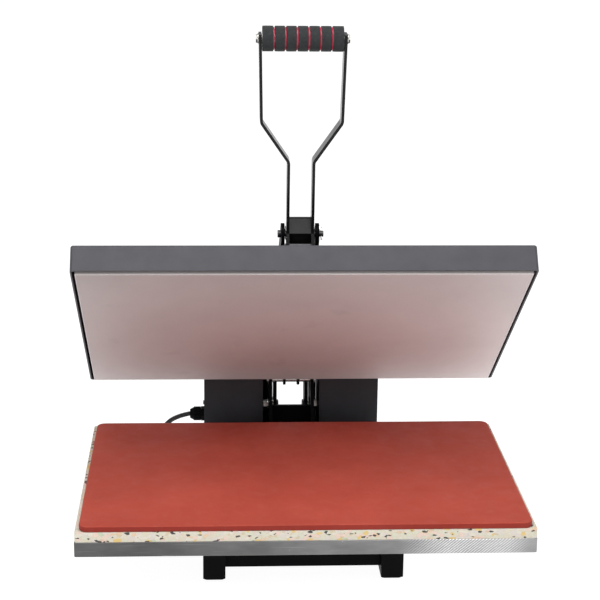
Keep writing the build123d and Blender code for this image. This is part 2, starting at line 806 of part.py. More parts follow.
with BuildPart() as head_screws:
    with BuildSketch(head_top.offset(cover_top + 5.04)):
        with Locations((0, spindle_u)):
            with GridLocations(128, 96, 2, 2):
                RegularPolygon(6.6, 6)
    extrude(amount=4.5)
    with BuildSketch(head_top.offset(cover_top + 0.04)):
        with Locations((0, head_u)):
            with GridLocations(560, 360, 2, 2):
                Circle(5)
    extrude(amount=2.6)
save(head_screws.part, "head_screws")

with BuildPart() as head_gland:
    with BuildSketch(head_rear.offset(head_u + cover_l / 2 - cover_t - 4)):
        with Locations(head_gland_at):
            Circle(6)
    extrude(amount=cover_t + 4)
    with BuildSketch(head_rear.offset(head_u + cover_l / 2 + 0.02)):
        with Locations(head_gland_at):
            RegularPolygon(10, 6)
    extrude(amount=5)
    with BuildSketch(head_rear.offset(head_u + cover_l / 2 + 4)):
        with Locations(head_gland_at):
            Circle(8)
    extrude(amount=9, taper=18)
save(head_gland.part, "head_gland")

# ---- pressure spindle and knob ------------------------------------------------
knob_low = block_w[1] + 18
knob_r = 17.0
knob_h = 17.0
with BuildPart() as spindle:
    with BuildSketch(head_top.offset(cover_top + 2.2)):
        with Locations((0, spindle_u)):
            Circle(spindle_r)
    extrude(amount=knob_low + 10 - cover_top - 2.2)
    with BuildSketch(head_top.offset(cover_top + 9.1)):
        with Locations((0, spindle_u)):
            Circle(8.3)
    extrude(amount=3)
save(spindle.part, "spindle")

with BuildPart() as pressure_knob:
    with BuildSketch(head_top.offset(knob_low)):
        with Locations((0, spindle_u)):
            Circle(knob_r)
            with PolarLocations(knob_r + 2.2, 6):
                Circle(5, mode=Mode.SUBTRACT)
    extrude(amount=knob_h)
    with BuildSketch(head_top.offset(knob_low)):
        with Locations((0, spindle_u)):
            Circle(11)
    extrude(amount=-8)
    with BuildSketch(head_top.offset(knob_low - 8)):
        with Locations((0, spindle_u)):
            Circle(spindle_r + still_fit)
    extrude(amount=18, mode=Mode.SUBTRACT)
    fillet(pressure_knob.faces().sort_by(Axis((0, 0, 0), up_dir))[-1].edges(), 1.2)
save(pressure_knob.part, "pressure_knob")

# ---- handle -------------------------------------------------------------------
for side, name in ((-1, "fork_bar_left"), (1, "fork_bar_right")):
    centre_low = side * (fork_low + bar_t / 2)
    centre_mid = side * (fork_mid + bar_t / 2)
    centre_top = side * (fork_top + bar_t / 2)
    with BuildPart() as fork_bar:
        with BuildSketch(handle_front.offset(-bar_depth / 2)):
            with BuildLine() as spine:
                FilletPolyline(
                    (centre_low, -4),
                    (centre_low, bend_low),
                    (centre_mid, bend_high),
                    (centre_top, grip_v + bar_end),
                    radius=9,
                )
            trace(spine.line, line_width=bar_t)
        extrude(amount=bar_depth)
        low_x = fork_low if side > 0 else -fork_low - bar_t
        with BuildSketch(handle_side.offset(low_x)):
            Circle(12)
            with Locations((c_back, c_up)):
                Circle(9.5)
            make_hull()
        extrude(amount=bar_t)
        with BuildSketch(handle_side.offset(low_x - 1)):
            Circle(pin_r + run_fit)
            with Locations((c_back, c_up)):
                Circle(pin_r + 0.02)
        extrude(amount=bar_t + 2, mode=Mode.SUBTRACT)
        with BuildSketch(handle_side.offset(side * (fork_top - 4) if side > 0 else -fork_top - bar_t - 4)):
            with Locations((0, grip_v)):
                Circle(4.05)
        extrude(amount=bar_t + 8, mode=Mode.SUBTRACT)
    save(fork_bar.part, name)

# bent block between the bars: upper face slopes back, lower face tucks under
with BuildPart() as knuckle:
    with BuildSketch(handle_side.offset(-fork_low + 0.02)):
        with BuildLine():
            Polyline(
                (-11.9, 4),
                (3, 22),
                (11.9, 22),
                (11.9, -8),
                (-6, -13),
                close=True,
            )
        make_face()
    extrude(amount=2 * fork_low - 0.04)
    fillet(knuckle.edges().filter_by(Axis.X).sort_by(Axis.Z)[-2:], 3)
    with BuildSketch(handle_side.offset(-fork_low - 1)):
        Circle(pin_r + run_fit)
    extrude(amount=2 * fork_low + 2, mode=Mode.SUBTRACT)
save(knuckle.part, "knuckle")

with BuildPart() as crank_pin:
    with BuildSketch(handle_side.offset(-fork_low - bar_t - 0.6)):
        with Locations((c_back, c_up)):
            Circle(pin_r)
    extrude(amount=2 * (fork_low + bar_t) + 1.2)
save(crank_pin.part, "crank_pin")

with BuildPart() as grip_core:
    with BuildSketch(handle_side.offset(-fork_top + 0.7)):
        with Locations((0, grip_v)):
            Circle(8)
    extrude(amount=2 * fork_top - 1.4)
    for side in (-1, 1):
        with BuildSketch(handle_side.offset(side * (fork_top - 0.7))):
            with Locations((0, grip_v)):
                Circle(4)
        extrude(amount=side * (bar_t + 1.9))
        with BuildSketch(handle_side.offset(side * (fork_top + bar_t + 0.02))):
            with Locations((0, grip_v)):
                Circle(7)
        extrude(amount=side * 1.3)
        with BuildSketch(handle_side.offset(side * (fork_top + bar_t + 1.3))):
            with Locations((0, grip_v)):
                RegularPolygon(6, 6)
        extrude(amount=side * 2.4)
save(grip_core.part, "grip_core")

grip_len = 2 * fork_top - 2.2
seg_len = (grip_len - (segment_count - 1) * groove) / segment_count
with BuildPart() as foam_grip:
    for k in range(segment_count):
        start = -grip_len / 2 + k * (seg_len + groove)
        with BuildSketch(handle_side.offset(start)):
            with Locations((0, grip_v)):
                Circle(grip_r)
                Circle(8.05, mode=Mode.SUBTRACT)
        extrude(amount=seg_len)
    rims = foam_grip.edges().filter_by(GeomType.CIRCLE).filter_by(lambda rim: rim.radius > grip_r - 1)
    chamfer(rims, 1.2)
save(foam_grip.part, "foam_grip")

with BuildPart() as grip_rings:
    for k in range(segment_count - 1):
        start = -grip_len / 2 + k * (seg_len + groove) + seg_len
        with BuildSketch(handle_side.offset(start + 0.02)):
            with Locations((0, grip_v)):
                Circle(grip_r - 1.6)
                Circle(8.05, mode=Mode.SUBTRACT)
        extrude(amount=groove - 0.04)
save(grip_rings.part, "grip_rings")

# ---- link plates --------------------------------------------------------------
link_in = 8.6
link_t = 4.0
knee = (pin_d[0] + 11.0, pin_d[1] + 58.0)
eye = (c_y, c_z - eye_drop)
with BuildPart() as link_plates:
    for side in (-1, 1):
        low_x = link_in if side > 0 else -link_in - link_t
        with BuildSketch(Plane.YZ.offset(low_x)):
            with Locations(knee):
                Circle(9)
            with Locations(pin_d):
                Circle(8.5)
            make_hull()
        extrude(amount=link_t)
        with BuildSketch(Plane.YZ.offset(low_x)):
            with Locations(knee):
                Circle(9)
            with Locations(eye):
                Circle(pin_r + eye_play + 4)
            make_hull()
        extrude(amount=link_t)
        with BuildSketch(Plane.YZ.offset(low_x)):
            with Locations(pin_d):
                Circle(pin_r + run_fit)
            with Locations(eye):
                Circle(pin_r + eye_play)
        extrude(amount=link_t, mode=Mode.SUBTRACT)
save(link_plates.part, "link_plates")
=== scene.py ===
import json
import math

import bmesh
import bpy
from mathutils import Matrix, Vector


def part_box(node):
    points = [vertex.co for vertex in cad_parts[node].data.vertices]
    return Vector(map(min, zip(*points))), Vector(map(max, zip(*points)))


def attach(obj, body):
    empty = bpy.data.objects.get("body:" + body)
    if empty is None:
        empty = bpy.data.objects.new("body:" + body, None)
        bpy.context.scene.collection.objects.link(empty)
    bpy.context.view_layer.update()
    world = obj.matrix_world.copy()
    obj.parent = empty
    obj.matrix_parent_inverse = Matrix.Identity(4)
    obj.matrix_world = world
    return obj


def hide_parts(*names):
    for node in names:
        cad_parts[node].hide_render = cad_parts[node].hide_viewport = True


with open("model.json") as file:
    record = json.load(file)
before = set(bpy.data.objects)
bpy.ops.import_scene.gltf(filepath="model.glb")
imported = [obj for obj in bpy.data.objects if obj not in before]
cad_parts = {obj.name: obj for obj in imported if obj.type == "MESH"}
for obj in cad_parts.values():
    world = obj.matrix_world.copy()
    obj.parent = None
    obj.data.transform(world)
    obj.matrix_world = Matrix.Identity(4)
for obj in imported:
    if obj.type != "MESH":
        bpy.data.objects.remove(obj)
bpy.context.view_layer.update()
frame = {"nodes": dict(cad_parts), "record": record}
nodes = frame["nodes"]

# ---- driving values: metres, angles in radians ----------------------------------
HANDLE_LEAN = math.radians(4.0)         # forward from the vertical, in the open press
HANDLE_PIN = Vector((0, -0.029272, 0.434450))
HANDLE_UP = Vector((0, -math.sin(HANDLE_LEAN), math.cos(HANDLE_LEAN)))
GRIP_HEIGHT = 0.273                     # handle pin to the middle of the grip
GRIP_RADIUS = 0.017
GRIP_BORE = 0.00805
GRIP_SEGMENTS = 7
GRIP_GAP = 0.0022                       # between two foam rolls
GRIP_CROWN = 0.00012                    # how far the middle of a roll stands up
GRIP_FLAT = 0.003                       # half the length of that middle
GRIP_SIDES = 64
GRIP_WOBBLE = 0.00006
NOTCH_LENGTH = 0.0022                   # hollow under the rim of a roll's end
NOTCH_DEPTH = NOTCH_LENGTH * 1.5
NOTCH_STEPS = 6
PLATE_WIDTH = 0.6
HEATER_REAR = 0.164                     # just under the open heating face's rear edge
HEATER_RISE = 0.247                     # of the open face, from its rear to its front edge
CORD_RADIUS = 0.0035
EXIT = Vector((-0.1567, 0.186, 0.0945))  # where the mains lead leaves its gland
COIL_CENTRE = Vector((-0.250, 0.244, 0))
COIL_RADIUS = 0.038
COIL_LIFT = 0.0012                      # clearance over the table
COIL_START = math.radians(248)
COIL_STEP = math.radians(20)
COIL_LAYERS = (54, 62)                  # points in the lower and the upper layer
EDGE_STEPS = 4                          # facets of a slab's rolled edge
CORNER_STEPS = 6
SMALLEST_CORNER = 0.0006
TOP_INSETS = (0.004, 0.012, 0.03, 0.07, 0.13, 0.19)
FLOOR_HALF = 60                         # half the floor's width
FLOOR_GLOW = 0.96
MACHINE_MIDDLE = (0, 0, 0.2)

# ---- camera values: lens and sensor in millimetres ------------------------------
CAMERA_PLACE = (-0.1237, -2.2947, 0.9755)
CAMERA_PITCH = math.radians(15.676)
CAMERA_YAW = math.radians(3.162)
CAMERA_ROLL = math.radians(0.716)
CAMERA_LENS = 100.53
CAMERA_SENSOR = 36


# ---- camera -------------------------------------------------------------------
def make_camera():
    """A long lens, a little above and left of the machine, turned and rolled slightly."""
    pitch, yaw, roll = CAMERA_PITCH, CAMERA_YAW, CAMERA_ROLL
    data = bpy.data.cameras.new("camera")
    data.lens = CAMERA_LENS
    data.sensor_width = CAMERA_SENSOR
    data.clip_start = 0.1
    camera = bpy.data.objects.new("camera", data)
    bpy.context.scene.collection.objects.link(camera)
    level_reach = math.cos(pitch)
    forward = Vector((math.sin(yaw) * level_reach, math.cos(yaw) * level_reach, -math.sin(pitch)))
    level = Vector((math.cos(yaw), -math.sin(yaw), 0))
    upright = level.cross(forward)
    right = level * math.cos(roll) + upright * math.sin(roll)
    up = upright * math.cos(roll) - level * math.sin(roll)
    turn = Matrix((right, up, -forward)).transposed().to_4x4()
    camera.matrix_world = Matrix.Translation(CAMERA_PLACE) @ turn
    bpy.context.scene.camera = camera


make_camera()


# ---- material helpers: texture scales count features in a metre ----------------
def link(tree, a, b):
    tree.links.new(a, b)


def new_material(name, rough, metallic=0.0, **sockets):
    """An empty node material, its tree and its shader, with constant sockets set."""
    material = bpy.data.materials.new(name)
    material.use_nodes = True
    tree = material.node_tree
    shader = tree.nodes["Principled BSDF"]
    shader.inputs["Roughness"].default_value = rough
    shader.inputs["Metallic"].default_value = metallic
    for socket, value in sockets.items():
        shader.inputs[socket.replace("_", " ")].default_value = value
    return material, tree, shader


def place(tree, scale=(1, 1, 1), turn=(0, 0, 0)):
    """Object coordinates in metres, stretched and turned."""
    source = tree.nodes.new("ShaderNodeTexCoord")
    mapping = tree.nodes.new("ShaderNodeMapping")
    mapping.inputs["Scale"].default_value = scale
    mapping.inputs["Rotation"].default_value = turn
    link(tree, source.outputs["Object"], mapping.inputs["Vector"])
    return mapping.outputs["Vector"]


def noise(tree, vector, scale, detail=4.0, rough=0.55, bend=0.0):
    """Soft random values around 0.5."""
    node = tree.nodes.new("ShaderNodeTexNoise")
    node.inputs["Scale"].default_value = scale
    node.inputs["Detail"].default_value = detail
    node.inputs["Roughness"].default_value = rough
    node.inputs["Distortion"].default_value = bend
    link(tree, vector, node.inputs["Vector"])
    return node.outputs["Fac"]


def cells(tree, vector, scale, feature="F1", output="Distance"):
    """Random cells: the distance from the nearest centre, or another of their measures."""
    node = tree.nodes.new("ShaderNodeTexVoronoi")
    node.feature = feature
    node.inputs["Scale"].default_value = scale
    link(tree, vector, node.inputs["Vector"])
    return node.outputs[output]


def ramp(tree, value, stops, constant=False):
    """Maps a value through colour stops: (position, (r, g, b)) or (position, grey)."""
    node = tree.nodes.new("ShaderNodeValToRGB")
    if constant:
        node.color_ramp.interpolation = "CONSTANT"
    elements = node.color_ramp.elements
    while len(elements) < len(stops):
        elements.new(0.5)
    for element, (position, colour) in zip(elements, stops):
        element.position = position
        shade = colour if isinstance(colour, tuple) else (colour,) * 3
        element.color = (*shade, 1)
    link(tree, value, node.inputs["Fac"])
    return node.outputs["Color"]


def mix(tree, factor, a, b, kind="MIX"):
    """Mixes two colours; each may be a socket or a tuple, and factor a socket or a number."""
    node = tree.nodes.new("ShaderNodeMix")
    node.data_type = "RGBA"
    node.blend_type = kind
    for socket, value in ((node.inputs["Factor"], factor), (node.inputs[6], a), (node.inputs[7], b)):
        if isinstance(value, bpy.types.NodeSocket):
            link(tree, value, socket)
        elif isinstance(value, tuple):
            socket.default_value = (*value, 1)
        else:
            socket.default_value = value
    return node.outputs[2]


def maths(tree, kind, a, b=0.0):
    """One operation on two values; each may be a socket or a number."""
    node = tree.nodes.new("ShaderNodeMath")
    node.operation = kind
    for socket, value in ((node.inputs[0], a), (node.inputs[1], b)):
        if isinstance(value, bpy.types.NodeSocket):
            link(tree, value, socket)
        else:
            socket.default_value = value
    return node.outputs[0]


def edges(tree, radius, low=0.02, high=0.16):
    """1 along the outer and inner edges of a hard shape, 0 on its faces."""
    bevel = tree.nodes.new("ShaderNodeBevel")
    bevel.samples = 4
    bevel.inputs["Radius"].default_value = radius
    geometry = tree.nodes.new("ShaderNodeNewGeometry")
    dot = tree.nodes.new("ShaderNodeVectorMath")
    dot.operation = "DOT_PRODUCT"
    link(tree, bevel.outputs["Normal"], dot.inputs[0])
    link(tree, geometry.outputs["Normal"], dot.inputs[1])
    away = maths(tree, "SUBTRACT", 1.0, dot.outputs["Value"])
    return ramp(tree, away, [(low, 0.0), (high, 1.0)])


def bump(tree, shader, height, strength, distance, rounding=0.0):
    """Surface relief from a height socket, with hard edges softened by rounding."""
    node = tree.nodes.new("ShaderNodeBump")
    node.inputs["Strength"].default_value = strength
    node.inputs["Distance"].default_value = distance
    link(tree, height, node.inputs["Height"])
    if rounding:
        bevel = tree.nodes.new("ShaderNodeBevel")
        bevel.samples = 4
        bevel.inputs["Radius"].default_value = rounding
        link(tree, bevel.outputs["Normal"], node.inputs["Normal"])
    link(tree, node.outputs["Normal"], shader.inputs["Normal"])


def warped(tree, vector, scale, amount):
    """Coordinates pushed about by noise, so that cells get ragged outlines."""
    jitter = tree.nodes.new("ShaderNodeTexNoise")
    jitter.inputs["Scale"].default_value = scale
    squeeze = tree.nodes.new("ShaderNodeVectorMath")
    squeeze.operation = "SCALE"
    squeeze.inputs["Scale"].default_value = amount
    total = tree.nodes.new("ShaderNodeVectorMath")
    total.operation = "ADD"
    link(tree, vector, jitter.inputs["Vector"])
    link(tree, jitter.outputs["Color"], squeeze.inputs[0])
    link(tree, vector, total.inputs[0])
    link(tree, squeeze.outputs["Vector"], total.inputs[1])
    return total.outputs["Vector"]


def chip_value(tree, vector, scale):
    """One random number for each cell."""
    split = tree.nodes.new("ShaderNodeSeparateColor")
    link(tree, cells(tree, vector, scale, output="Color"), split.inputs["Color"])
    return split.outputs["Red"]


def patches(tree, vector, scale, detail=4.0):
    """Soft patches, 0 in the hollows of a noise and 1 on its hills."""
    return ramp(tree, noise(tree, vector, scale, detail), [(0.3, 0.0), (0.7, 1.0)])


def axes(tree, vector):
    """The X, Y and Z of a vector socket."""
    split = tree.nodes.new("ShaderNodeSeparateXYZ")
    link(tree, vector, split.inputs[0])
    return split.outputs


def across_plate(tree, place_x):
    """0 at the plate's left end, 1 at its right end."""
    return maths(tree, "ADD", maths(tree, "MULTIPLY", place_x, 1 / PLATE_WIDTH), 0.5)


def vary_gloss(tree, shader, value, stops):
    """Roughness that follows a value."""
    link(tree, ramp(tree, value, stops), shader.inputs["Roughness"])


# ---- materials ----------------------------------------------------------------
def paint(name, colour, rough, edge_colour, wear=0.5, peel=0.25, shine=0.15):
    """Powder coat: orange peel, faint mottling, edges rubbed thinner."""
    material, tree, shader = new_material(name, rough, Specular_IOR_Level=shine)
    where = place(tree)
    darker = tuple(c * 0.93 for c in colour)
    lighter = tuple(c * 1.08 for c in colour)
    body = mix(tree, patches(tree, where, 35, 3), darker, lighter)
    scuffs = ramp(tree, noise(tree, where, 160, 5, 0.7), [(0.5, 0.0), (0.68, 1.0)])
    edge = edges(tree, 0.0009)
    rubbed = maths(tree, "MULTIPLY", maths(tree, "MULTIPLY", edge, scuffs), wear)
    link(tree, mix(tree, rubbed, body, edge_colour), shader.inputs["Base Color"])
    vary_gloss(tree, shader, noise(tree, where, 90, 4), [(0.25, rough - 0.06), (0.8, rough + 0.1)])
    bump(tree, shader, noise(tree, where, 900, 2), peel, 0.0002, 0.0006)
    return material


def milled_aluminium():
    """Plate edge: painted shade at the left end rising to a painted highlight towards the right, long fine
    scratches, nicks, slanted cutter strokes.
    """
    material, tree, shader = new_material("milled_aluminium", 0.36, 1.0)
    where = place(tree)
    across = across_plate(tree, axes(tree, where)["X"])
    # painted light: the tone is dark at the left end and pale towards the right end, a painted shade and a
    # painted reflection of a lamp
    painted_shade_left_end = [(0.0, 0.115), (0.2, 0.105), (0.5, 0.19)]
    painted_highlight_right_end = [(0.68, 0.24), (0.78, 0.34), (0.92, 0.38), (1.0, 0.3)]
    tone = ramp(tree, across, painted_shade_left_end + painted_highlight_right_end)
    broad = noise(tree, place(tree, (1, 1, 3)), 18, 4)
    tone = mix(tree, 1.0, tone, ramp(tree, broad, [(0.3, 0.82), (0.7, 1.16)]), "MULTIPLY")
    strokes = tree.nodes.new("ShaderNodeTexWave")
    strokes.inputs["Scale"].default_value = 112
    strokes.inputs["Distortion"].default_value = 1.6
    strokes.inputs["Detail Scale"].default_value = 3
    link(tree, place(tree, turn=(0, math.radians(-50), 0)), strokes.inputs["Vector"])
    cutter = ramp(tree, strokes.outputs["Fac"], [(0.35, 0.0), (0.85, 1.0)])
    cut_end = ramp(tree, across, [(0.7, 0.0), (0.8, 0.8), (0.94, 0.7), (0.98, 0.15)])
    worked = maths(tree, "MULTIPLY", cutter, cut_end)
    tone = mix(tree, worked, tone, (0.86, 0.86, 0.87))
    lay = noise(tree, place(tree, (0.012, 0.012, 1)), 1500, 3)
    tone = mix(tree, ramp(tree, lay, [(0.62, 0.0), (0.74, 0.3)]), tone, (0.6, 0.6, 0.61))
    nicks = ramp(tree, cells(tree, where, 46), [(0.0, 0.7), (0.035, 0.0)])
    tone = mix(tree, nicks, tone, (0.8, 0.8, 0.82))
    link(tree, tone, shader.inputs["Base Color"])
    vary_gloss(tree, shader, lay, [(0.2, 0.3), (0.8, 0.5)])
    bump(tree, shader, mix(tree, 0.6, lay, worked), 0.3, 0.0003, 0.0007)
    return material


def heater_aluminium():
    """Heating face: dull, slightly clouded, with painted shade darkening it to the left and the front, and
    a painted highlight along its rim.
    """
    material, tree, shader = new_material("heater_aluminium", 0.6, 0.34, Specular_IOR_Level=0.4)
    lay = noise(tree, place(tree, (1, 0.02, 0.02)), 1500, 3)
    where = place(tree)
    clouds = ramp(tree, noise(tree, where, 7, 5, 0.6, 0.4), [(0.3, 0.0), (0.72, 1.0)])
    tone = mix(tree, clouds, (0.82, 0.75, 0.74), (0.91, 0.835, 0.825))
    stain = ramp(tree, noise(tree, where, 16, 4), [(0.62, 0.0), (0.8, 0.3)])
    tone = mix(tree, stain, tone, (0.46, 0.43, 0.41))
    place_axes = axes(tree, where)
    across = across_plate(tree, place_axes["X"])
    above_rear = maths(tree, "SUBTRACT", place_axes["Z"], HEATER_REAR)
    forward = maths(tree, "DIVIDE", above_rear, HEATER_RISE)
    # painted shade: the tone darkens towards the left end and towards the front edge, standing in for how
    # light falls on the face
    tone = mix(tree, 1.0, tone, ramp(tree, across, [(0.0, 0.72), (0.5, 0.82), (1.0, 0.95)]), "MULTIPLY")
    tone = mix(tree, 1.0, tone, ramp(tree, forward, [(0.0, 1.0), (0.5, 0.84), (1.0, 0.68)]), "MULTIPLY")
    # painted highlight: a near-white glint along the face's edges
    rim = maths(tree, "MULTIPLY", edges(tree, 0.0012), 0.8)
    tone = mix(tree, rim, tone, (0.98, 0.96, 0.95))
    link(tree, tone, shader.inputs["Base Color"])
    vary_gloss(tree, shader, lay, [(0.2, 0.55), (0.8, 0.68)])
    bump(tree, shader, lay, 0.12, 0.0001, 0.0006)
    return material


def silicone():
    """Matt red silicone sheet: fine grain, faint bloom of dust, painted shade on the faces that don't face
    up.
    """
    material, tree, shader = new_material("red_silicone", 0.6, Specular_IOR_Level=0.2)
    where = place(tree)
    body = mix(tree, patches(tree, where, 9), (0.4, 0.058, 0.036), (0.47, 0.074, 0.048))
    dust = ramp(tree, noise(tree, where, 60, 6, 0.75), [(0.52, 0.0), (0.75, 0.15)])
    body = mix(tree, dust, body, (0.58, 0.2, 0.16))
    specks = ramp(tree, cells(tree, where, 240), [(0.0, 0.6), (0.07, 0.0)])
    body = mix(tree, maths(tree, "MULTIPLY", specks, dust), body, (0.75, 0.6, 0.55))
    geometry = tree.nodes.new("ShaderNodeNewGeometry")
    facing_up = axes(tree, geometry.outputs["Normal"])["Z"]
    # painted shade: faces turned away from above are darkened, standing in for shade on the sheet's edges
    painted_side_shade = ramp(tree, facing_up, [(0.35, (0.62, 0.4, 0.38)), (0.75, 1.0)])
    body = mix(tree, 1.0, body, painted_side_shade, "MULTIPLY")
    link(tree, body, shader.inputs["Base Color"])
    vary_gloss(tree, shader, noise(tree, where, 40, 3), [(0.3, 0.5), (0.7, 0.66)])
    grain = mix(tree, 0.5, noise(tree, where, 1600, 2), cells(tree, where, 900))
    bump(tree, shader, grain, 0.25, 0.0002)
    return material


def rebond_foam():
    """Rebonded foam: pale pressed chips, some yellow, with small black crumbs and open pores."""
    material, tree, shader = new_material("rebond_foam", 0.95, Sheen_Weight=0.15, Sheen_Roughness=0.6)
    where = place(tree, (1, 1, 1.5))
    chips = warped(tree, where, 120, 0.006)
    palette = [
        (0.0, (0.7, 0.64, 0.51)),
        (0.25, (0.68, 0.66, 0.53)),
        (0.42, (0.78, 0.61, 0.52)),
        (0.55, (0.7, 0.64, 0.58)),
        (0.68, (0.73, 0.68, 0.58)),
        (0.87, (0.76, 0.55, 0.22)),
        (0.92, (0.54, 0.61, 0.45)),
        (0.95, (0.76, 0.57, 0.39)),
    ]
    colour = ramp(tree, chip_value(tree, chips, 150), palette, constant=True)
    seams = ramp(tree, cells(tree, chips, 150, "DISTANCE_TO_EDGE"), [(0.0, 0.86), (0.05, 1.0)])
    colour = mix(tree, 1.0, colour, seams, "MULTIPLY")
    crumbs = warped(tree, place(tree, (0.6, 0.6, 1.2)), 300, 0.0012)
    dark = ramp(tree, chip_value(tree, crumbs, 340), [(0.0, 0.0), (0.935, 1.0)], constant=True)
    tinted = ramp(tree, chip_value(tree, crumbs, 290), [(0.0, 0.0), (0.95, 0.35)], constant=True)
    colour = mix(tree, tinted, colour, (0.55, 0.36, 0.12))
    colour = mix(tree, maths(tree, "MULTIPLY", dark, 0.93), colour, (0.02, 0.02, 0.025))
    pores = noise(tree, where, 1500, 3)
    pore_shade = ramp(tree, pores, [(0.35, 0.7), (0.6, 1.0)])
    colour = mix(tree, 0.4, colour, mix(tree, 1.0, colour, pore_shade, "MULTIPLY"))
    link(tree, colour, shader.inputs["Base Color"])
    bump(tree, shader, mix(tree, 0.5, pores, seams), 0.6, 0.0008)
    return material


def grip_foam():
    """Closed-cell foam: charcoal, faint pores, a soft sheen on the skin."""
    material, tree, shader = new_material("grip_foam", 0.82, Sheen_Weight=0.12, Sheen_Roughness=0.5)
    where = place(tree)
    body = mix(tree, patches(tree, where, 120), (0.009, 0.0108, 0.0116), (0.015, 0.018, 0.0195))
    pores = cells(tree, where, 2300)
    pore_mask = ramp(tree, pores, [(0.0, 0.5), (0.3, 0.0)])
    link(tree, mix(tree, pore_mask, body, (0.012, 0.013, 0.014)), shader.inputs["Base Color"])
    vary_gloss(tree, shader, noise(tree, where, 300, 3), [(0.3, 0.72), (0.7, 0.9)])
    bump(tree, shader, mix(tree, 0.5, pores, noise(tree, where, 1200, 2)), 0.35, 0.0003)
    return material


def metal(name, colour, rough, tint=0.12):
    """Plated or blackened steel: clouded tone, fine grain in the gloss, bright soft edges."""
    material, tree, shader = new_material(name, rough, 1.0)
    where = place(tree)
    low = tuple(c * (1 - tint) for c in colour)
    high = tuple(min(1, c * (1 + tint)) for c in colour)
    body = mix(tree, patches(tree, where, 70), low, high)
    worn = maths(tree, "MULTIPLY", edges(tree, 0.0006), 0.35)
    link(tree, mix(tree, worn, body, (0.75, 0.74, 0.72)), shader.inputs["Base Color"])
    fine = noise(tree, where, 900, 3)
    vary_gloss(tree, shader, fine, [(0.25, rough * 0.75), (0.8, min(1, rough * 1.3))])
    bump(tree, shader, fine, 0.15, 0.0001, 0.0005)
    return material


def plastic(name, colour, rough, grain=1100, relief=0.25, speckle=0.0, **sockets):
    """Moulded plastic or rubber: fine grain, slight tone change, paler rubbed edges."""
    material, tree, shader = new_material(name, rough, **sockets)
    where = place(tree)
    low = tuple(c * 0.82 for c in colour)
    high = tuple(min(1, c * 1.2) for c in colour)
    body = mix(tree, patches(tree, where, 60), low, high)
    rub = maths(tree, "MULTIPLY", edges(tree, 0.0007), 0.25)
    body = mix(tree, rub, body, tuple(min(1, c * 2.2 + 0.03) for c in colour))
    if speckle:
        dots = ramp(tree, noise(tree, where, 500, 2), [(0.66, 0.0), (0.72, speckle)])
        body = mix(tree, dots, body, (0.5, 0.5, 0.5))
    link(tree, body, shader.inputs["Base Color"])
    wear = noise(tree, where, 200, 4)
    vary_gloss(tree, shader, wear, [(0.3, rough * 0.85), (0.75, min(1, rough * 1.15))])
    bump(tree, shader, noise(tree, where, grain, 2), relief, 0.00015, 0.0005)
    return material


def insulation_wool():
    """Pale yellow mineral wool: patchy tone and combed fibres."""
    material, tree, shader = new_material("insulation_wool", 0.97, Sheen_Weight=0.4)
    fibres = noise(tree, place(tree, (1, 0.2, 0.6)), 1300, 5, 0.7, 1.5)
    body = mix(tree, patches(tree, place(tree), 50), (0.7, 0.66, 0.5), (0.85, 0.82, 0.7))
    between = ramp(tree, fibres, [(0.4, 0.35), (0.6, 0.0)])
    link(tree, mix(tree, between, body, (0.45, 0.4, 0.28)), shader.inputs["Base Color"])
    bump(tree, shader, fibres, 0.6, 0.0006)
    return material


def display_glass():
    """Dark display window, lightly smeared."""
    material, tree, shader = new_material("display_glass", 0.08, Coat_Weight=0.5, Coat_Roughness=0.05)
    smears = noise(tree, place(tree), 40, 5, 0.6, 0.6)
    dull = ramp(tree, smears, [(0.4, 0.0), (0.8, 1.0)])
    link(tree, mix(tree, dull, (0.012, 0.02, 0.018), (0.03, 0.045, 0.04)), shader.inputs["Base Color"])
    vary_gloss(tree, shader, smears, [(0.3, 0.05), (0.8, 0.2)])
    bump(tree, shader, smears, 0.05, 0.0001, 0.0005)
    return material


